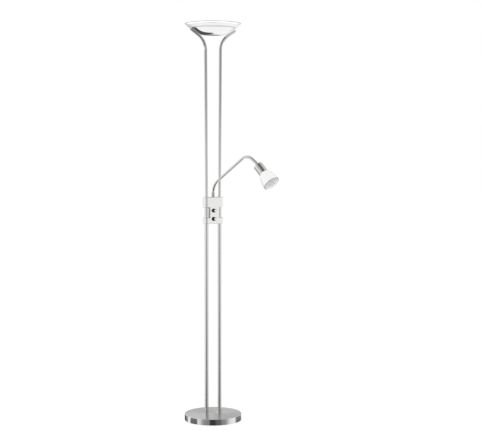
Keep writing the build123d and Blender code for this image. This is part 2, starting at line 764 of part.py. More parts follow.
with BuildPart() as arm_tube:
    arm_end = arm_neck_length + holder_start + arm_in_holder
    with BuildLine(arm_plane) as arm_path:
        FilletPolyline(
            (0, housing_top - arm_below_top),
            arm_corner,
            arm_crest,
            arm_neck,
            (arm_neck[0] + arm_end * drop_cos, arm_neck[1] - arm_end * drop_sin),
            radius=[arm_lower_bend, arm_upper_bend, arm_neck_bend],
        )
    with BuildSketch(Plane(origin=arm_path.line @ 0, z_dir=arm_path.line % 0)):
        Circle(arm_radius)
        Circle(arm_radius - arm_wall, mode=Mode.SUBTRACT)
    sweep()
arm_tube.part.label = "arm_tube"

# ---------------------------------------------------------------- reading head
with BuildPart() as socket_cup:
    with BuildSketch(head_square):
        Circle(cup_diameter / 2)
    extrude(amount=cup_length)
    fillet(socket_cup.faces().sort_by(head_line)[0].edges(), cup_edge_round)
    with BuildSketch(head_square.offset(cup_wall)):
        Circle(cup_diameter / 2 - cup_edge_round)
    with BuildSketch(head_square.offset(cup_wall + cup_edge_round)):
        Circle(cup_diameter / 2 - cup_wall)
    loft(mode=Mode.SUBTRACT)
    with BuildSketch(head_square.offset(cup_wall + cup_edge_round)):
        Circle(cup_diameter / 2 - cup_wall)
    extrude(amount=cup_length, mode=Mode.SUBTRACT)
    with BuildSketch(head_square):
        Circle(arm_radius + tube_fit)
    extrude(amount=cup_wall, mode=Mode.SUBTRACT)
socket_cup.part.label = "socket_cup"

with BuildPart() as head_nut:
    with BuildSketch(head_square.offset(cup_wall)):
        RegularPolygon(head_nut_flats / 2, 6, major_radius=False)
        Circle(arm_radius + tube_fit, mode=Mode.SUBTRACT)
    extrude(amount=head_nut_height)
head_nut.part.label = "head_nut"

with BuildPart() as reading_holder:
    with BuildSketch(head_square.offset(holder_start)):
        Circle(holder_diameter / 2)
    extrude(amount=holder_end - holder_start)
    with BuildSketch(head_square.offset(holder_start)):
        Circle(arm_radius + tube_fit)
    extrude(amount=holder_neck_depth, mode=Mode.SUBTRACT)
    with BuildSketch(head_square.offset(holder_end - holder_socket_depth)):
        Circle(holder_socket_diameter / 2)
    extrude(amount=holder_socket_depth, mode=Mode.SUBTRACT)
reading_holder.part.label = "reading_holder"

cup_radius = cup_diameter / 2
rim_radius = shade_rim_diameter / 2
rim_reach = cup_length + shade_length
bell_points = [
    (cup_radius + wide * (rim_radius - cup_radius), cup_length + along * shade_length)
    for along, wide in bell_shares
]
bell_inside = [(radius - shade_wall, reach) for radius, reach in reversed(bell_points)]
bell_floor_corner = (cup_radius - shade_wall / 2, cup_length + shade_wall)
with BuildPart() as reading_shade:
    with BuildSketch(head_plane):
        with BuildLine():
            Line((shade_hole_diameter / 2, cup_length), (cup_radius, cup_length))
            Spline((cup_radius, cup_length), *bell_points, (rim_radius, rim_reach))
            Line((rim_radius, rim_reach), (rim_radius - shade_wall, rim_reach))
            Spline((rim_radius - shade_wall, rim_reach), *bell_inside, bell_floor_corner)
            Polyline(
                bell_floor_corner,
                (shade_hole_diameter / 2, cup_length + shade_wall),
                (shade_hole_diameter / 2, cup_length),
            )
        make_face()
    revolve(axis=head_line)
reading_shade.part.label = "reading_shade"

with BuildPart() as shade_ring:
    with BuildSketch(head_square.offset(shade_ring_start)):
        Circle(shade_ring_diameter / 2)
        Circle(holder_diameter / 2 + tube_fit, mode=Mode.SUBTRACT)
    extrude(amount=shade_ring_height)
shade_ring.part.label = "shade_ring"

with BuildPart() as reading_bulb:
    cap_start = holder_end - holder_socket_depth + glass_clearance
    with BuildSketch(head_plane):
        with BuildLine():
            Polyline(
                (0, cap_start),
                (bulb_cap_diameter / 2, cap_start),
                (bulb_cap_diameter / 2, holder_end),
                (bulb_diameter / 2, holder_end + bulb_diameter / 2),
                (bulb_diameter / 2, holder_end + bulb_reach - bulb_diameter / 2),
            )
            RadiusArc(
                (bulb_diameter / 2, holder_end + bulb_reach - bulb_diameter / 2),
                (0, holder_end + bulb_reach),
                -bulb_diameter / 2,
            )
            Line((0, holder_end + bulb_reach), (0, cap_start))
        make_face()
    revolve(axis=head_line)
reading_bulb.part.label = "reading_bulb"

# ---------------------------------------------------------------- uplight: dish and glass bowl
dish_lip = (dish_radius - flare_sin * dish_wall, dish_edge_height + flare_cos * dish_wall)
inner_corner_shift = dish_wall * tan(radians(flare_angle / 2))

with BuildPart() as bowl_dish:
    with BuildSketch(Plane.XZ):
        with BuildLine():
            FilletPolyline(
                (0, dish_floor),
                (dish_corner, dish_floor),
                (dish_radius, dish_edge_height),
                radius=dish_bend,
            )
            Line((dish_radius, dish_edge_height), dish_lip)
            FilletPolyline(
                dish_lip,
                (dish_corner - inner_corner_shift, dish_floor + dish_wall),
                (0, dish_floor + dish_wall),
                radius=dish_bend - dish_wall,
            )
            Line((0, dish_floor + dish_wall), (0, dish_floor))
        make_face()
    revolve(axis=Axis.Z)
    with BuildSketch(Plane.XY.offset(dish_floor)):
        Circle(nipple_diameter / 2 + bore_clearance)
    extrude(amount=dish_wall, mode=Mode.SUBTRACT)
    for side in sides.values():
        rivet_plane = Plane(
            origin=(side * rivet_radius, 0, rivet_height),
            x_dir=(side * flare_cos, 0, flare_sin),
            z_dir=(-side * flare_sin, 0, flare_cos),
        )
        with BuildSketch(rivet_plane):
            Circle(rivet_diameter / 2 + screw_clearance)
        extrude(amount=2 * dish_wall, both=True, mode=Mode.SUBTRACT)
bowl_dish.part.label = "bowl_dish"

with BuildPart() as dish_rivets:
    for side in sides.values():
        rivet_plane = Plane(
            origin=(side * rivet_radius, 0, rivet_height),
            x_dir=(side * flare_cos, 0, flare_sin),
            z_dir=(-side * flare_sin, 0, flare_cos),
        )
        with BuildSketch(rivet_plane.offset(-rivet_tail)):
            Circle(rivet_diameter / 2)
        extrude(amount=rivet_tail + dish_wall + rivet_seat_clearance)
        with BuildSketch(rivet_plane.offset(dish_wall + rivet_seat_clearance)):
            Circle(rivet_head_diameter / 2)
        extrude(amount=rivet_head_height)
dish_rivets.part.label = "dish_rivets"

with BuildPart() as dish_nipple:
    with BuildSketch(Plane.XY.offset(dish_floor - nipple_head_height)):
        Circle(nipple_head_diameter / 2)
    extrude(amount=nipple_head_height)
    with BuildSketch(Plane.XY.offset(dish_floor)):
        Circle(nipple_diameter / 2)
    extrude(amount=nut_floor + bracket_nut_height - dish_floor)
    with BuildSketch(Plane.XY.offset(dish_floor)):
        Circle(nipple_bore / 2)
    extrude(amount=nut_floor + bracket_nut_height - dish_floor, mode=Mode.SUBTRACT)
dish_nipple.part.label = "dish_nipple"

with BuildPart() as dish_spacer:
    with BuildSketch(Plane.XY.offset(dish_floor + dish_wall)):
        Circle(spacer_diameter / 2)
        Circle(nipple_diameter / 2 + bore_clearance, mode=Mode.SUBTRACT)
    extrude(amount=bowl_floor - gasket_thickness - dish_floor - dish_wall)
dish_spacer.part.label = "dish_spacer"

with BuildPart() as bracket_spacer:
    with BuildSketch(Plane.XY.offset(bracket_floor - bracket_lift)):
        Circle(spacer_diameter / 2)
        Circle(nipple_diameter / 2 + bore_clearance, mode=Mode.SUBTRACT)
    extrude(amount=bracket_lift)
bracket_spacer.part.label = "bracket_spacer"

gasket_floors = {"lower_gasket": bowl_floor - gasket_thickness, "upper_gasket": bowl_floor + bowl_wall}
gasket_pieces = []
for gasket_name, gasket_floor in gasket_floors.items():
    with BuildPart() as gasket:
        with BuildSketch(Plane.XY.offset(gasket_floor)):
            Circle(gasket_diameter / 2)
            Circle(nipple_diameter / 2 + bore_clearance, mode=Mode.SUBTRACT)
        extrude(amount=gasket_thickness)
    gasket.part.label = gasket_name
    gasket_pieces.append(gasket.part)

bowl_inner_rim = bowl_rim_radius - bowl_wall / sin(radians(bowl_rim_angle))
knee_half = radians((bowl_rim_angle - flare_angle) / 2)
knee_lean = radians((bowl_rim_angle + flare_angle) / 2)
knee_offset = bowl_wall / cos(knee_half)
with BuildPart() as bowl_glass:
    with BuildSketch(Plane.XZ):
        with BuildLine():
            FilletPolyline(
                (bowl_hole_diameter / 2, bowl_floor),
                (bowl_corner, bowl_floor),
                (bowl_knee, bowl_knee_height),
                (bowl_rim_radius, lamp_height),
                radius=[bowl_bend, bowl_bend],
            )
            Line((bowl_rim_radius, lamp_height), (bowl_inner_rim, lamp_height))
            FilletPolyline(
                (bowl_inner_rim, lamp_height),
                (bowl_knee - knee_offset * sin(knee_lean), bowl_knee_height + knee_offset * cos(knee_lean)),
                (bowl_corner - bowl_wall * tan(radians(flare_angle / 2)), bowl_floor + bowl_wall),
                (bowl_hole_diameter / 2, bowl_floor + bowl_wall),
                radius=[bowl_bend, bowl_bend - bowl_wall],
            )
            Line((bowl_hole_diameter / 2, bowl_floor + bowl_wall), (bowl_hole_diameter / 2, bowl_floor))
        make_face()
    revolve(axis=Axis.Z)
bowl_glass.part.label = "bowl_glass"

# ---------------------------------------------------------------- uplight: what carries the halogen tube
ear_inner = bracket_half_length - bracket_thickness
with BuildPart() as lamp_bracket:
    with BuildSketch(Plane.XY.offset(bracket_floor)):
        Rectangle(2 * bracket_half_length, bracket_width)
        Circle(nipple_diameter / 2 + bore_clearance, mode=Mode.SUBTRACT)
    extrude(amount=bracket_thickness)
    for side in sides.values():
        with BuildSketch(Plane.XY.offset(bracket_floor)):
            with Locations((side * (bracket_half_length + ear_inner) / 2, 0)):
                Rectangle(bracket_thickness, bracket_width)
        extrude(amount=bracket_thickness + bracket_ear_height)
    bottom_edges = lamp_bracket.edges().filter_by(Axis.Y).group_by(Axis.Z)[0].sort_by(Axis.X)
    fillet([bottom_edges[0], bottom_edges[-1]], bracket_bend)
lamp_bracket.part.label = "lamp_bracket"

wing_cos = cos(radians(reflector_wing_angle))
wing_sin = sin(radians(reflector_wing_angle))
with BuildPart() as reflector:
    with BuildSketch(Plane.YZ.offset(-reflector_length / 2)):
        with BuildLine():
            half_floor = reflector_floor_width / 2
            rise = reflector_sheet / wing_cos
            wing_y = half_floor + reflector_wing * wing_cos
            wing_z = reflector_wing * wing_sin
            Polyline(
                (-wing_y, reflector_floor + wing_z),
                (-half_floor, reflector_floor),
                (half_floor, reflector_floor),
                (wing_y, reflector_floor + wing_z),
                (wing_y, reflector_floor + wing_z + rise),
                (half_floor - reflector_sheet * tan(radians(reflector_wing_angle / 2)), nut_floor),
                (-half_floor + reflector_sheet * tan(radians(reflector_wing_angle / 2)), nut_floor),
                (-wing_y, reflector_floor + wing_z + rise),
                (-wing_y, reflector_floor + wing_z),
            )
        make_face()
    extrude(amount=reflector_length)
    with BuildSketch(Plane.XY.offset(reflector_floor)):
        Circle(nipple_diameter / 2 + bore_clearance)
    extrude(amount=reflector_sheet, mode=Mode.SUBTRACT)
reflector.part.label = "reflector"

with BuildPart() as bracket_nut:
    with BuildSketch(Plane.XY.offset(nut_floor)):
        RegularPolygon(bracket_nut_flats / 2, 6, major_radius=False)
        Circle(nipple_diameter / 2 + tube_fit, mode=Mode.SUBTRACT)
    extrude(amount=bracket_nut_height)
bracket_nut.part.label = "bracket_nut"

lamp_pieces = []
for side_name, side in sides.items():
    with BuildPart() as lamp_holder:
        with BuildSketch(Plane.XY.offset(reflector_floor)):
            with Locations((side * (ear_inner - lamp_holder_length / 2), 0)):
                Rectangle(lamp_holder_length, lamp_holder_width)
        extrude(amount=lamp_holder_height)
        fillet(lamp_holder.edges().filter_by(Axis.Z), lamp_holder_edge_round)
        with BuildSketch(Plane.YZ.offset(side * lamp_holder_inner)):
            with Locations((0, lamp_height_axis)):
                Circle(lamp_end_diameter / 2 + glass_clearance)
        extrude(amount=side * lamp_contact_depth, mode=Mode.SUBTRACT)
    lamp_holder.part.label = side_name + "_lamp_holder"
    lamp_pieces.append(lamp_holder.part)

lamp_half = lamp_holder_inner + lamp_contact_depth - glass_clearance
quartz_half = lamp_half - lamp_end_length
with BuildPart() as halogen_tube:
    with BuildSketch(Plane.YZ.offset(-quartz_half)):
        with Locations((0, lamp_height_axis)):
            Circle(lamp_tube_diameter / 2)
    extrude(amount=2 * quartz_half)
    fillet(halogen_tube.edges(), lamp_tube_end_round)
    with BuildSketch(Plane.YZ.offset(-lamp_half)):
        with Locations((0, lamp_height_axis)):
            Circle(lamp_end_diameter / 2)
    extrude(amount=2 * lamp_half)
halogen_tube.part.label = "halogen_tube"

# ---------------------------------------------------------------- one STEP file for each piece
pieces = [
    base_cover.part,
    base_weight.part,
    base_pad.part,
    cable_inlet.part,
    *foot_pieces,
    foot_washers.part,
    foot_nuts.part,
    *upper_pieces,
    housing_body.part,
    housing_cover.part,
    cover_screws.part,
    tube_set_screws.part,
    *dimmer_pieces,
    dimmer_nuts.part,
    dimmer_board.part,
    terminal_block.part,
    arm_bearing.part,
    arm_ferrule.part,
    arm_washer.part,
    arm_nut.part,
    arm_tube.part,
    socket_cup.part,
    head_nut.part,
    reading_holder.part,
    reading_shade.part,
    shade_ring.part,
    reading_bulb.part,
    bowl_dish.part,
    dish_rivets.part,
    dish_nipple.part,
    dish_spacer.part,
    bracket_spacer.part,
    *gasket_pieces,
    bowl_glass.part,
    lamp_bracket.part,
    reflector.part,
    bracket_nut.part,
    *lamp_pieces,
    halogen_tube.part,
]
os.makedirs("parts", exist_ok=True)
for piece in pieces:
    export_step(piece, "parts/" + piece.label + ".step")
print(len(pieces), "pieces written")
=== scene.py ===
import json
import math

import bmesh
import bpy
from mathutils import Matrix, Vector


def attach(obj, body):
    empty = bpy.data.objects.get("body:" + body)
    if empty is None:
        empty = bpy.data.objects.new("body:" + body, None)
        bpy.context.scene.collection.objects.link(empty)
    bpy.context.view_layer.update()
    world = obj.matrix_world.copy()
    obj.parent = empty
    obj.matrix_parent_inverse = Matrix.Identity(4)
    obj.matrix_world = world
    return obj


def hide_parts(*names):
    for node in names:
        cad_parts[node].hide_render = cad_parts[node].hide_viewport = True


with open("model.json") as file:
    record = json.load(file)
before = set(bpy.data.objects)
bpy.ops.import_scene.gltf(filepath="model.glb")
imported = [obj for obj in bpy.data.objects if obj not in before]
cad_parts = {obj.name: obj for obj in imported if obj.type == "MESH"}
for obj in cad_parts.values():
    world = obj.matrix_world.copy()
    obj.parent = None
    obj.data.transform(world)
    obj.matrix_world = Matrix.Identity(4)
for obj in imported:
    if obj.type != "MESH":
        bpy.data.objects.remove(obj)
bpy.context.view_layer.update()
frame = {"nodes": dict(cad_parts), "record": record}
nodes = frame["nodes"]
print("frame loaded,", len(nodes), "nodes")

mixSockets = {"factor": 0, "first": 6, "second": 7, "result": 2}  # of a Mix node that mixes colours


class Wire:  # a socket that takes plain Python maths
    def __init__(self, tree, socket=None):
        self.tree = tree
        self.socket = socket

    def add(self, kind, settings=None, values=None, out=0):
        node = self.tree.nodes.new("ShaderNode" + kind)
        for key, value in (settings or {}).items():
            setattr(node, key, value)
        for key, value in (values or {}).items():
            if isinstance(value, Wire):
                self.tree.links.new(value.socket, node.inputs[key])
            else:
                node.inputs[key].default_value = value
        return Wire(self.tree, node.outputs[out]) if node.outputs else node

    def maths(self, operation, *values):
        return self.add("Math", {"operation": operation}, dict(enumerate(values)))

    def __add__(self, other):
        return self.maths("ADD", self, other)

    def __sub__(self, other):
        return self.maths("SUBTRACT", self, other)

    def __rsub__(self, other):
        return self.maths("SUBTRACT", other, self)

    def __mul__(self, other):
        return self.maths("MULTIPLY", self, other)

    def __truediv__(self, other):
        return self.maths("DIVIDE", self, other)

    __radd__ = __add__
    __rmul__ = __mul__

    def step(self, low, high):  # 0 below low, 1 above high, smooth between
        settings = {"interpolation_type": "SMOOTHSTEP"}
        return self.add("MapRange", settings, {"Value": self, "From Min": low, "From Max": high})

    def band(self, low, high, soft):  # 1 between low and high
        return self.step(low - soft, low + soft) * (1 - self.step(high - soft, high + soft))

    def between(self, first, second):  # this value goes from one number to another
        return (second - first) * self + first

    def blend(self, first, second):  # this value goes from one colour to another
        values = {mixSockets["factor"]: self, mixSockets["first"]: first, mixSockets["second"]: second}
        return self.add("Mix", {"data_type": "RGBA"}, values, mixSockets["result"])


def grey(value, warm=0.0):
    return (value * (1 + warm), value, value * (1 - warm), 1)


def emptyTree(owner):
    owner.use_nodes = True
    owner.node_tree.nodes.clear()
    return Wire(owner.node_tree)


def newMaterial(name, surface):
    material = bpy.data.materials.new(name)
    wire = emptyTree(material)
    wire.add("OutputMaterial", None, {"Surface": surface(wire)})
    return material


def place(wire):  # the point on the object, in metres
    return wire.add("TexCoord", out="Object")


def axes(wire, vector):
    split = wire.add("SeparateXYZ", None, {0: vector})
    return [Wire(wire.tree, split.socket.node.outputs[i]) for i in range(3)]


def rayKinds(wire, *names):
    outputs = wire.add("LightPath").socket.node.outputs
    return [Wire(wire.tree, outputs[name]) for name in names]


noiseMiddle = 0.5  # of the values of a noise texture


def noise(wire, point, scale, detail):
    return wire.add("TexNoise", None, {"Vector": point, "Scale": scale, "Detail": detail})


def bumps(wire, height, strength, depth):
    return wire.add("Bump", None, {"Strength": strength, "Distance": depth, "Height": height})


metalDetail = {"grain": 3.0, "cloud": 2.0, "darker": 0.97, "lighter": 1.03, "bumpDepth": 0.0002}
plainDetail = {"cloud": 4.0, "darker": 0.94, "lighter": 1.04, "bumpDepth": 0.0004}


def metal(look):
    def surface(wire):
        point = place(wire)
        stretched = wire.add("VectorMath", {"operation": "MULTIPLY"}, {0: point, 1: look["stretch"]})
        grain = noise(wire, stretched, look["grain"], metalDetail["grain"])
        cloud = noise(wire, point, look["cloud"], metalDetail["cloud"])
        rough = look["rough"] + (grain - noiseMiddle) * look["roughGrain"]
        rough = rough + (cloud - noiseMiddle) * look["roughCloud"]
        low, high = [grey(look["tone"] * metalDetail[side], look["warm"]) for side in ("darker", "lighter")]
        tone = cloud.blend(low, high)
        bump = bumps(wire, grain, look["bump"], metalDetail["bumpDepth"])
        return wire.add("BsdfPrincipled", None, {
            "Base Color": tone, "Metallic": 1.0, "Roughness": rough, "Normal": bump,
            "Anisotropic": look["aniso"],
        })
    return newMaterial(look["name"], surface)


def plain(look):
    def surface(wire):
        cloud = noise(wire, place(wire), look["cloud"], plainDetail["cloud"])
        rough = look["rough"] + (cloud - noiseMiddle) * look["roughCloud"]
        low = [c * plainDetail["darker"] for c in look["colour"]] + [1]
        high = [min(1, c * plainDetail["lighter"]) for c in look["colour"]] + [1]
        bump = bumps(wire, cloud, look["bump"], plainDetail["bumpDepth"])
        return wire.add("BsdfPrincipled", None, {
            "Base Color": cloud.blend(low, high), "Roughness": rough, "Normal": bump,
            "Coat Weight": look.get("coat", 0.0), "Metallic": look.get("metallic", 0.0),
        })
    return newMaterial(look["name"], surface)


satinNickel = metal({
    "name": "satinNickel", "tone": 0.70, "warm": 0.012, "rough": 0.30, "stretch": (1, 1, 14), "grain": 900,
    "cloud": 9, "roughGrain": 0.10, "roughCloud": 0.08, "bump": 0.15, "aniso": 0.4,
})
polishedNickel = metal({
    "name": "polishedNickel", "tone": 0.80, "warm": 0.010, "rough": 0.07, "stretch": (1, 1, 1), "grain": 700,
    "cloud": 14, "roughGrain": 0.02, "roughCloud": 0.04, "bump": 0.02, "aniso": 0.0,
})
housingNickel = metal({
    "name": "housingNickel", "tone": 0.92, "warm": 0.004, "rough": 0.15, "stretch": (1, 1, 10), "grain": 800,
    "cloud": 12, "roughGrain": 0.04, "roughCloud": 0.03, "bump": 0.05, "aniso": 0.0,
})
tubeNickel = metal({
    "name": "tubeNickel", "tone": 0.74, "warm": 0.008, "rough": 0.15, "stretch": (1, 1, 14), "grain": 900,
    "cloud": 9, "roughGrain": 0.06, "roughCloud": 0.04, "bump": 0.08, "aniso": 0.3,
})
armNickel = metal({
    "name": "armNickel", "tone": 0.80, "warm": 0.012, "rough": 0.10, "stretch": (1, 1, 14), "grain": 900,
    "cloud": 9, "roughGrain": 0.06, "roughCloud": 0.04, "bump": 0.08, "aniso": 0.0,
})
dishNickel = metal({
    "name": "dishNickel", "tone": 0.95, "warm": 0.0, "rough": 0.04, "stretch": (1, 1, 1), "grain": 700,
    "cloud": 14, "roughGrain": 0.01, "roughCloud": 0.02, "bump": 0.01, "aniso": 0.0,
})
# The knob metal comes in two copies: the side is darkened as a painted reflection of a dark card, and the
# end face is brightened as a painted highlight.
knobPaintedShadeSide = metal({
    "name": "knobPaintedShadeSide", "tone": 0.07, "warm": 0.0, "rough": 0.16, "stretch": (1, 1, 1), "grain": 700,
    "cloud": 30, "roughGrain": 0.02, "roughCloud": 0.04, "bump": 0.02, "aniso": 0.0,
})
knobPaintedHighlightFace = metal({
    "name": "knobPaintedHighlightFace", "tone": 0.97, "warm": 0.0, "rough": 0.14, "stretch": (1, 1, 1), "grain": 700,
    "cloud": 30, "roughGrain": 0.01, "roughCloud": 0.02, "bump": 0.0, "aniso": 0.0,
})
zincSteel = metal({
    "name": "zincSteel", "tone": 0.58, "warm": 0.02, "rough": 0.34, "stretch": (1, 1, 1), "grain": 600,
    "cloud": 60, "roughGrain": 0.10, "roughCloud": 0.12, "bump": 0.2, "aniso": 0.0,
})
brightSheet = metal({
    "name": "brightSheet", "tone": 0.84, "warm": 0.0, "rough": 0.22, "stretch": (1, 12, 1), "grain": 500,
    "cloud": 25, "roughGrain": 0.10, "roughCloud": 0.08, "bump": 0.3, "aniso": 0.0,
})
brass = metal({
    "name": "turnedBrass", "tone": 0.60, "warm": 0.25, "rough": 0.28, "stretch": (1, 1, 8), "grain": 700,
    "cloud": 40, "roughGrain": 0.08, "roughCloud": 0.08, "bump": 0.2, "aniso": 0.0,
})
castIron = plain({"name": "castIron", "colour": (0.10, 0.10, 0.105), "rough": 0.75, "cloud": 220,
                  "roughCloud": 0.3, "bump": 0.8, "metallic": 0.4})
softPad = plain({"name": "softPad", "colour": (0.045, 0.045, 0.045), "rough": 0.85, "cloud": 900,
                 "roughCloud": 0.2, "bump": 0.6})
blackPlastic = plain({"name": "blackPlastic", "colour": (0.03, 0.03, 0.032), "rough": 0.42, "cloud": 500,
                      "roughCloud": 0.15, "bump": 0.15})
whitePlastic = plain({"name": "whitePlastic", "colour": (0.80, 0.80, 0.78), "rough": 0.40, "cloud": 300,
                      "roughCloud": 0.1, "bump": 0.05})
whiteCeramic = plain({"name": "whiteCeramic", "colour": (0.80, 0.79, 0.75), "rough": 0.30, "cloud": 160,
                      "roughCloud": 0.2, "bump": 0.15, "coat": 0.4})
greenBoard = plain({"name": "greenBoard", "colour": (0.02, 0.14, 0.05), "rough": 0.35, "cloud": 400,
                    "roughCloud": 0.1, "bump": 0.1, "coat": 0.3})


def turnedBase(look):  # the top is spun and brushed, the side polished
    def surface(wire):
        point = place(wire)
        x, y, z = axes(wire, point)
        radius = wire.maths("SQRT", x * x + y * y)
        onTop = z.step(look["topLow"], look["topHigh"])
        top = onTop * (1 - radius.step(look["flatEdge"], look["roundEdge"]))
        values = {"W": radius * look["rings"], "Detail": look["detail"]}
        rings = wire.add("TexNoise", {"noise_dimensions": "1D"}, values)
        cloud = noise(wire, point, look["cloud"], look["detail"])
        ringed = (rings - noiseMiddle) * look["roughRings"]
        rough = look["sideRough"] + top * (look["topRough"] - look["sideRough"] + ringed)
        rough = rough + (cloud - noiseMiddle) * look["roughCloud"]
        tone = top.blend(grey(look["sideTone"], look["sideWarm"]), grey(look["topTone"], look["topWarm"]))
        bump = bumps(wire, rings * top, look["bump"], look["bumpDepth"])
        return wire.add("BsdfPrincipled", None, {
            "Base Color": tone, "Metallic": 1.0, "Roughness": rough, "Normal": bump,
            "Anisotropic": look["aniso"], "Anisotropic Rotation": look["anisoTurn"],
        })
    return newMaterial(look["name"], surface)


spunBase = turnedBase({
    "name": "spunBase", "topLow": 0.0270, "topHigh": 0.0276, "flatEdge": 0.1284, "roundEdge": 0.1290,
    "rings": 2600, "sideRough": 0.06, "topRough": 0.25, "sideTone": 0.80, "topTone": 0.70,
    "sideWarm": 0.01, "topWarm": 0.004, "cloud": 12.0, "detail": 3.0, "roughRings": 0.12,
    "roughCloud": 0.04, "bump": 0.5, "bumpDepth": 0.00004, "aniso": 0.8, "anisoTurn": 0.25,
})


glassDetail = {
    "detail": 3.0, "bump": 0.08, "bumpDepth": 0.0003, "facing": 0.5, "roughCloud": 0.1, "coatRough": 0.05,
    "clearCloud": 40.0, "clearDetail": 2.0, "clearRoughCloud": 0.02,
}


def satinGlass(look):
    def surface(wire):
        cloud = noise(wire, place(wire), look["cloud"], glassDetail["detail"])
        bump = bumps(wire, cloud, glassDetail["bump"], glassDetail["bumpDepth"])
        tone = cloud.blend(look["deep"], look["light"])
        facing = wire.add("LayerWeight", None, {"Blend": glassDetail["facing"]}, out=1)
        paintedEdgeShade = facing.step(look["edgeFrom"], look["edgeTo"])  # painted shade: the base colour turns grey where the glass is seen edge on, standing in for its darker reflection there
        tone = paintedEdgeShade.blend(tone, look["edge"])
        return wire.add("BsdfPrincipled", None, {
            "Base Color": tone, "Roughness": look["rough"] + cloud * glassDetail["roughCloud"],
            "Coat Weight": look["coat"], "Coat Roughness": glassDetail["coatRough"], "Normal": bump,
        })
    return newMaterial(look["name"], surface)


def clearGlass(look):
    def surface(wire):
        cloud = noise(wire, place(wire), glassDetail["clearCloud"], glassDetail["clearDetail"])
        rough = look["rough"] + cloud * glassDetail["clearRoughCloud"]
        return wire.add("BsdfPrincipled", None, {
            "Base Color": look["colour"], "Roughness": rough, "IOR": look["ior"],
            "Transmission Weight": 1.0,
        })
    return newMaterial(look["name"], surface)


# Each glass's edge colour is painted shade, used where the glass is seen edge on.
whiteGlass = satinGlass({
    "name": "whiteGlass", "deep": (0.93, 0.93, 0.925, 1), "light": (0.97, 0.97, 0.965, 1), "cloud": 18,
    "rough": 0.30, "coat": 0.6, "edge": (0.34, 0.36, 0.35, 1), "edgeFrom": 0.86, "edgeTo": 0.99,
})
opalGlass = satinGlass({
    "name": "opalGlass", "deep": (0.92, 0.91, 0.89, 1), "light": (0.96, 0.95, 0.93, 1), "cloud": 60,
    "rough": 0.35, "coat": 0.1, "edge": (0.70, 0.70, 0.68, 1), "edgeFrom": 0.80, "edgeTo": 1.0,
})
rimGlass = clearGlass({
    "name": "rimGlass", "colour": (0.95, 0.965, 0.96, 1), "rough": 0.02, "ior": 1.45,
})
bellRimGlass = clearGlass({
    "name": "bellRimGlass", "colour": (0.97, 0.98, 0.975, 1), "rough": 0.05, "ior": 1.45,
})
groundEdge = plain({"name": "groundEdge", "colour": (0.42, 0.45, 0.44), "rough": 0.3, "cloud": 300,
                    "roughCloud": 0.1, "bump": 0.1, "coat": 0.5})
quartz = clearGlass({
    "name": "quartzGlass", "colour": (0.98, 0.98, 1.0, 1), "rough": 0.01, "ior": 1.46,
})
print("materials made")

straightAngle = 1e-4  # a corner that bends less than twice this, in radians, stays a plain point
axisRadius = 1e-7  # a profile point nearer to the axis, in metres, becomes one vertex
sharpAngle = math.radians(35)


def roundedLine(points, radii, steps):  # a 2-D line whose inner corners are arcs
    line = [Vector(points[0])]
    for before, corner, after, radius in zip(points, points[1:], points[2:], radii):
        corner = Vector(corner)
        back = (Vector(before) - corner).normalized()
        ahead = (Vector(after) - corner).normalized()
        half = back.angle(ahead) / 2
        if abs(half - math.pi / 2) < straightAngle:
            line.append(corner)
            continue
        middle = corner + (back + ahead).normalized() * radius / math.sin(half)
        start = corner + back * radius / math.tan(half) - middle
        sweep = math.pi - 2 * half
        turn = 1 if start.x * ahead.y - start.y * ahead.x > 0 else -1
        for i in range(steps + 1):
            angle = turn * sweep * i / steps
            line.append(middle + Matrix.Rotation(angle, 2) @ start)
    line.append(Vector(points[-1]))
    return line


def finishMesh(name, mesh, materials, body, replaced):
    bm = bmesh.new()
    bm.from_mesh(mesh)
    bmesh.ops.recalc_face_normals(bm, faces=bm.faces)
    for face in bm.faces:
        face.smooth = True
    for edge in bm.edges:
        if len(edge.link_faces) == 2:
            edge.smooth = edge.calc_face_angle() < sharpAngle
    bm.to_mesh(mesh)
    bm.free()
    for material in materials:
        mesh.materials.append(material)
    piece = bpy.data.objects.new(name, mesh)
    bpy.context.scene.collection.objects.link(piece)
    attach(piece, body)
    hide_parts(*replaced)
    return piece


def lathe(profile, origin, axis, segments, marks=None):
    # profile is a closed line of (radius, distance along the axis)
    # marks gives each stretch of it a material
    turn = Vector((0, 0, 1)).rotation_difference(Vector(axis)).to_matrix()
    mesh = bpy.data.meshes.new("turned")
    points, faces, kinds = [], [], []
    rings = []
    for radius, height in profile:
        if radius < axisRadius:
            rings.append([len(points)])
            points.append(turn @ Vector((0, 0, height)) + Vector(origin))
            continue
        rings.append(list(range(len(points), len(points) + segments)))
        for i in range(segments):
            angle = 2 * math.pi * i / segments
            spot = Vector((radius * math.cos(angle), radius * math.sin(angle), height))
            points.append(turn @ spot + Vector(origin))
    for number, (first, second) in enumerate(zip(rings, rings[1:] + rings[:1])):
        if len(first) == 1 and len(second) == 1:
            continue
        for i in range(segments):
            j = (i + 1) % segments
            if len(first) == 1:
                faces.append((first[0], second[i], second[j]))
            elif len(second) == 1:
                faces.append((first[i], second[0], first[j]))
            else:
                faces.append((first[i], second[i], second[j], first[j]))
            kinds.append(marks[number] if marks else 0)
    mesh.from_pydata(points, [], faces)
    mesh.polygons.foreach_set("material_index", kinds)
    return mesh


bowl = {
    "rim": 0.1305, "innerRim": 0.12428, "top": 1.800, "depth": 0.044, "wall": 0.004, "hole": 0.008,
    "corner": 0.06889, "knee": (0.11566, 1.78755), "bend": 0.100, "lip": 0.0014, "innerLip": 0.0016,
    "clearBand": 0.012, "seam": 0.00005, "rimAngle": 40.0, "innerShift": 0.0012,
    "bendSteps": 10, "lipSteps": 6, "segments": 160,
}


def lipMarks(ring):  # the lip between a clear ring's two sides takes the second material
    return [0] + [1] * (len(ring) - 3) + [0, 0]


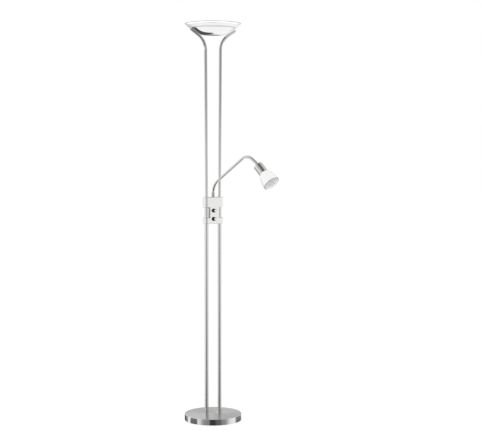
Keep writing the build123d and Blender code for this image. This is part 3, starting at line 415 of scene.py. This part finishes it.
def makeBowl(look):
    floor = look["top"] - look["depth"]
    lean = math.radians(look["rimAngle"])
    along = Vector((math.cos(lean), math.sin(lean)))
    across = Vector((-math.sin(lean), math.cos(lean)))
    knee = Vector(look["knee"])
    rim = Vector((look["rim"], look["top"]))
    joint = rim - along * look["clearBand"]
    inside = floor + look["wall"]
    outer = roundedLine([(look["hole"], floor), (look["corner"], floor), knee, joint],
                        [look["bend"], look["bend"]], look["bendSteps"])
    inner = roundedLine([joint + across * look["wall"], knee + across * look["wall"],
                         (look["corner"] - look["innerShift"], inside), (look["hole"], inside)],
                        [look["bend"], look["bend"] - look["wall"]], look["bendSteps"])
    body = lathe(outer + inner, (0, 0, 0), (0, 0, 1), look["segments"])
    finishMesh("bowlGlass", body, [whiteGlass], "stand", ["bowl_glass"])
    start = joint + along * look["seam"]
    ring = roundedLine([start, rim, (look["innerRim"], look["top"]), start + across * look["wall"]],
                       [look["lip"], look["innerLip"]], look["lipSteps"])
    edge = lathe(ring, (0, 0, 0), (0, 0, 1), look["segments"], lipMarks(ring))
    finishMesh("bowlClearRim", edge, [rimGlass, groundEdge], "stand", ["bowl_glass"])


makeBowl(bowl)
print("bowl made")


dish = {
    "floor": 1.7474, "corner": 0.06097, "radius": 0.105, "slope": 34.0, "bend": 0.105, "wall": 0.0012,
    "hole": 0.0051, "lip": 0.0005, "steps": 24, "segments": 192,
}


def makeDish(look):
    lean = math.radians(look["slope"])
    across = Vector((-math.sin(lean), math.cos(lean))) * look["wall"]
    edge = Vector((look["radius"], look["floor"] + (look["radius"] - look["corner"]) * math.tan(lean)))
    inside = look["floor"] + look["wall"]
    innerCorner = look["corner"] - look["wall"] * math.tan(lean / 2)
    outline = [(look["hole"], look["floor"]), (look["corner"], look["floor"]), edge, edge + across,
               (innerCorner, inside), (look["hole"], inside)]
    radii = [look["bend"], look["lip"], look["lip"], look["bend"] - look["wall"]]
    mesh = lathe(roundedLine(outline, radii, look["steps"]), (0, 0, 0), (0, 0, 1), look["segments"])
    finishMesh("underDish", mesh, [dishNickel], "stand", ["bowl_dish"])


makeDish(dish)
print("dish made")


head = {
    "direction": -67.5, "drop": 46.0, "reach": 0.26096, "height": 1.16630,
    "cupLength": 0.049, "cupRadius": 0.0211,
}
swing = math.radians(head["direction"])
drop = math.radians(head["drop"])
headAxis = Vector((math.cos(swing) * math.cos(drop), math.sin(swing) * math.cos(drop), -math.sin(drop)))
headStart = Vector((math.cos(swing) * head["reach"], math.sin(swing) * head["reach"], head["height"]))

bell = {
    "hole": 0.0143, "length": 0.0615, "rim": 0.0379, "wall": 0.003, "clearBand": 0.004, "seam": 0.00005,
    "shares": ((0.0, 0.0), (0.2, 0.455), (0.43, 0.7), (0.65, 0.845), (1.0, 1.0)),
    "lip": 0.0008, "curveSteps": 8, "lipSteps": 5, "segments": 112,
}


def smoothLine(points, steps):  # Catmull-Rom through the points
    line = []
    ends = [2 * points[0] - points[1]] + list(points) + [2 * points[-1] - points[-2]]
    for a, b, c, d in zip(ends, ends[1:], ends[2:], ends[3:]):
        for i in range(steps):
            t = i / steps
            line.append(0.5 * (2 * b + (c - a) * t + (2 * a - 5 * b + 4 * c - d) * t * t
                               + (3 * b - a - 3 * c + d) * t * t * t))
    return line + [points[-1]]


def makeBell(look):
    start = head["cupLength"]
    points = [
        Vector((head["cupRadius"] + wide * (look["rim"] - head["cupRadius"]), start + far * look["length"]))
        for far, wide in look["shares"]
    ]
    curve = smoothLine(points, look["curveSteps"])
    end = start + look["length"]
    limit = end - look["clearBand"]
    before = max((p for p in curve if p.y < limit), key=lambda p: p.y)
    after = min((p for p in curve if p.y > limit), key=lambda p: p.y)
    joint = before.lerp(after, (limit - before.y) / (after.y - before.y))
    inward = Vector((-look["wall"], 0))
    outer = [p for p in curve if p.y < limit] + [joint]
    inner = [p + inward for p in reversed(outer) if p.y > start + look["wall"]]
    profile = [Vector((look["hole"], start))] + outer + inner
    profile.append(Vector((look["hole"], start + look["wall"])))
    body = lathe(profile, headStart, headAxis, look["segments"])
    finishMesh("readingBell", body, [whiteGlass], "arm", ["reading_shade"])
    first = joint + Vector((0, look["seam"]))
    rim = Vector((look["rim"], end))
    ring = roundedLine([first, rim, rim + inward, first + inward], [look["lip"], look["lip"]],
                       look["lipSteps"])
    edge = lathe(ring, headStart, headAxis, look["segments"], lipMarks(ring))
    finishMesh("bellClearRim", edge, [bellRimGlass, groundEdge], "arm", ["reading_shade"])


makeBell(bell)
print("bell made")


knob = {
    "base": 0.0105, "end": 0.0073, "x": -0.006, "back": -0.0175, "length": 0.022, "edge": 0.0008,
    "recess": 0.0076, "recessDepth": 0.003, "bore": 0.00305, "boreDepth": 0.015, "crown": 0.0003,
    "edgeSteps": 5, "faceRings": 6, "segments": 72, "heights": {"upper": 0.959, "lower": 0.9212},
}


def makeKnob(look, level):
    length = look["length"]
    side = roundedLine([(look["recess"], 0), (look["base"], 0), (look["end"], length - look["crown"]),
                        (0, length)], [look["edge"], look["edge"]], look["edgeSteps"])
    profile = [(look["bore"], look["recessDepth"]), (look["recess"], look["recessDepth"])] + side
    profile += [(0, look["boreDepth"]), (look["bore"], look["boreDepth"])]
    marks = [0] * (len(profile) - look["faceRings"]) + [1] * look["faceRings"]  # the end face takes the painted highlight, the rest the painted shade
    origin = (look["x"], look["back"], look["heights"][level])
    mesh = lathe(profile, origin, (0, -1, 0), look["segments"], marks)
    body, replaced = level + "_knob_body", [level + "_knob"]
    piece = finishMesh(level + "Knob", mesh, [knobPaintedShadeSide, knobPaintedHighlightFace], body, replaced)
    piece.visible_glossy = False  # the housing is too satin to mirror the knobs


for knobLevel in knob["heights"]:
    makeKnob(knob, knobLevel)
print("knobs made")


finishes = {
    "satin_metal": satinNickel, "polished_metal": polishedNickel, "cast_weight": castIron,
    "soft_pad": softPad, "black_plastic": blackPlastic, "white_plastic": whitePlastic,
    "white_ceramic": whiteCeramic, "steel_fittings": zincSteel, "circuit_board": greenBoard,
    "brass_bush": brass, "white_glass": whiteGlass, "bulb_glass": opalGlass,
    "reflector_sheet": brightSheet, "quartz": quartz,
}
special = {
    "base_cover": spunBase, "housing_body": housingNickel, "housing_cover": housingNickel,
    "left_lower_tube": tubeNickel, "right_lower_tube": tubeNickel,
    "left_upper_tube": tubeNickel, "right_upper_tube": tubeNickel, "arm_tube": armNickel,
}
for part in frame["record"]["subparts"]:
    node = nodes[part["node"]]
    node.data.materials.clear()
    node.data.materials.append(special.get(part["node"], finishes[part["material_slot"]]))
for tube in ("left_upper_tube", "right_upper_tube"):
    nodes[tube].visible_glossy = False  # the dish shows the pale room, not the tubes
print("finishes set")


camera = {
    "place": (-2.382, -4.778, 1.249), "tilt": 86.566, "turn": -27.8587, "roll": 0.06,
    "lens": 87.98, "sensor": 36.0,
}
eye = bpy.data.objects.new("photoCamera", bpy.data.cameras.new("photoCamera"))
bpy.context.scene.collection.objects.link(eye)
eye.location = camera["place"]
aim = Matrix.Identity(3)
for angleName, axisName in (("turn", "Z"), ("tilt", "X"), ("roll", "Z")):
    aim = aim @ Matrix.Rotation(math.radians(camera[angleName]), 3, axisName)
eye.rotation_euler = aim.to_euler()
eye.data.lens = camera["lens"]
eye.data.sensor_width = camera["sensor"]
bpy.context.scene.camera = eye

studio = {  # angles in degrees, 0 in front and positive to the right
    "ambient": 0.92, "front": -116.5, "behind": 180,
    "below": 0.96, "left": 0.88, "right": 0.62, "top": 0.70,
    "sideSpan": (-60, 60), "topSpan": (30, 75), "belowSpan": (-2, 4), "cardSoft": 1,
    "frontBelow": {"centre": 6, "width": 38, "spread": 3.5, "least": 20, "most": 105, "low": -16,
                   "high": 10, "fade": 0.1, "tone": 0.06},
    "frontAbove": {"turn": -10, "height": 60, "inner": 5, "outer": 45, "tone": 0.13},
    "horizon": {"width": 110, "low": -2, "high": 2.5, "tone": 0.30},
    "backdrop": {"inner": 45, "outer": 75, "height": 45, "soft": 10},
}
degrees = 180 / math.pi
cards = [  # each card's middle, half width, lowest and highest edge, softness and tone
    (7, 52, -24, -12.6, 12, 0.26), (20, 13, -24, -12.6, 5, 0.11), (-2, 12, -24, -12.6, 3, 0.015),
    (-86, 19, -24, -12.6, 3, 0.01), (-150, 25, -24, -12.6, 3, 0.09), (132, 28, -24, -12.6, 8, 0.04),
    (-164, 16, -43, -2, 2, 0.07), (178, 6, -8, -1, 2, 0.32), (180, 8, 2, 12, 3, 0.30),
]


def makeWorld(look):
    world = bpy.data.worlds.new("studio")
    bpy.context.scene.world = world
    wire = emptyTree(world)
    x, y, z = axes(wire, wire.add("TexCoord", out="Generated"))
    front = math.radians(look["front"])
    ahead = x * math.cos(front) + y * math.sin(front)
    right = y * math.cos(front) - x * math.sin(front)
    angle = wire.maths("ARCTAN2", right, ahead) * degrees
    height = wire.maths("ARCSINE", z) * degrees

    def offAngle(middle):
        return wire.maths("ABSOLUTE", wire.maths("WRAP", angle - middle, look["behind"], -look["behind"]))

    upper = angle.step(*look["sideSpan"]).between(look["left"], look["right"])
    upper = height.step(*look["topSpan"]).between(upper, look["top"])
    tone = height.step(*look["belowSpan"]).between(look["below"], upper)

    line = look["horizon"]
    mask = (1 - offAngle(0).step(0, line["width"])) * height.step(line["low"], line["high"])
    tone = mask.between(tone, line["tone"])

    under = look["frontBelow"]
    width = wire.maths("MAXIMUM", height * -under["spread"] + under["width"], under["least"])
    width = wire.maths("MINIMUM", width, under["most"])
    mask = 1 - (offAngle(under["centre"]) / width).step(under["fade"], 1)
    mask = mask * (1 - height.step(under["low"], under["high"]))
    tone = mask.between(tone, under["tone"])

    over = look["frontAbove"]
    turn, lift = front + math.radians(over["turn"]), math.radians(over["height"])
    middle = (math.cos(turn) * math.cos(lift), math.sin(turn) * math.cos(lift), math.sin(lift))
    near = x * middle[0] + y * middle[1] + z * middle[2]
    apart = wire.maths("ARCCOSINE", near) * degrees
    mask = 1 - apart.step(over["inner"], over["outer"])
    tone = mask.between(tone, over["tone"])

    for middle, half, low, high, soft, cardTone in cards:
        mask = 1 - offAngle(middle).step(half - soft, half + soft)
        mask = mask * height.band(low, high, look["cardSoft"])
        tone = mask.between(tone, cardTone)

    glossy, seen, through = rayKinds(wire, "Is Glossy Ray", "Is Camera Ray", "Is Transmission Ray")
    level = wire.maths("MAXIMUM", glossy, through).between(look["ambient"], tone)
    screen = look["backdrop"]  # what is seen through clear glass
    mask = 1 - offAngle(look["behind"]).step(screen["inner"], screen["outer"])
    mask = mask * height.band(-screen["height"], screen["height"], screen["soft"])
    level = wire.maths("MAXIMUM", seen, through * mask).between(level, 1.0)
    background = wire.add("Background", None, {"Color": grey(1.0), "Strength": level})
    wire.add("OutputWorld", None, {"Surface": background})


makeWorld(studio)

floor = {"size": 40.0, "tone": 0.18, "lift": 0.86, "glow": 0.92}


def makeFloor(look):
    half = look["size"] / 2
    mesh = bpy.data.meshes.new("floor")
    corners = [(-half, -half, 0), (half, -half, 0), (half, half, 0), (-half, half, 0)]
    mesh.from_pydata(corners, [], [(0, 1, 2, 3)])
    plane = bpy.data.objects.new("floor", mesh)
    bpy.context.scene.collection.objects.link(plane)

    def surface(wire):
        matt = wire.add("BsdfDiffuse", None, {"Color": grey(look["tone"])})
        seen, through = rayKinds(wire, "Is Camera Ray", "Is Transmission Ray")
        strength = wire.maths("MAXIMUM", seen, through).between(look["glow"] - look["tone"], look["lift"])
        glow = wire.add("Emission", None, {"Color": grey(1.0), "Strength": strength})
        return wire.add("AddShader", None, {0: matt, 1: glow})

    mesh.materials.append(newMaterial("paleFloor", surface))
    plane.visible_glossy = False


makeFloor(floor)

lampTarget = Vector((0, 0, 1.0))
lamps = [  # name, place, size, power, warmth
    ("keyLight", (-2.6, -2.4, 3.0), 2.2, 14, 0.01),
    ("fillLight", (3.0, -2.2, 1.8), 2.6, 8, -0.01),
    ("backLight", (0.8, 3.2, 2.4), 2.4, 8, 0.0),
]
for name, spot, size, power, warm in lamps:
    light = bpy.data.lights.new(name, "AREA")
    light.size = size
    light.energy = power
    light.color = grey(1.0, warm)[:3] if warm < 0 else (1.0, 1 - warm, 1 - 2 * warm)
    lamp = bpy.data.objects.new(name, light)
    bpy.context.scene.collection.objects.link(lamp)
    lamp.location = spot
    lamp.rotation_euler = (Vector(spot) - lampTarget).to_track_quat("Z", "Y").to_euler()
    lamp.visible_glossy = False
bpy.context.scene.view_settings.view_transform = "Standard"
print("studio lit")
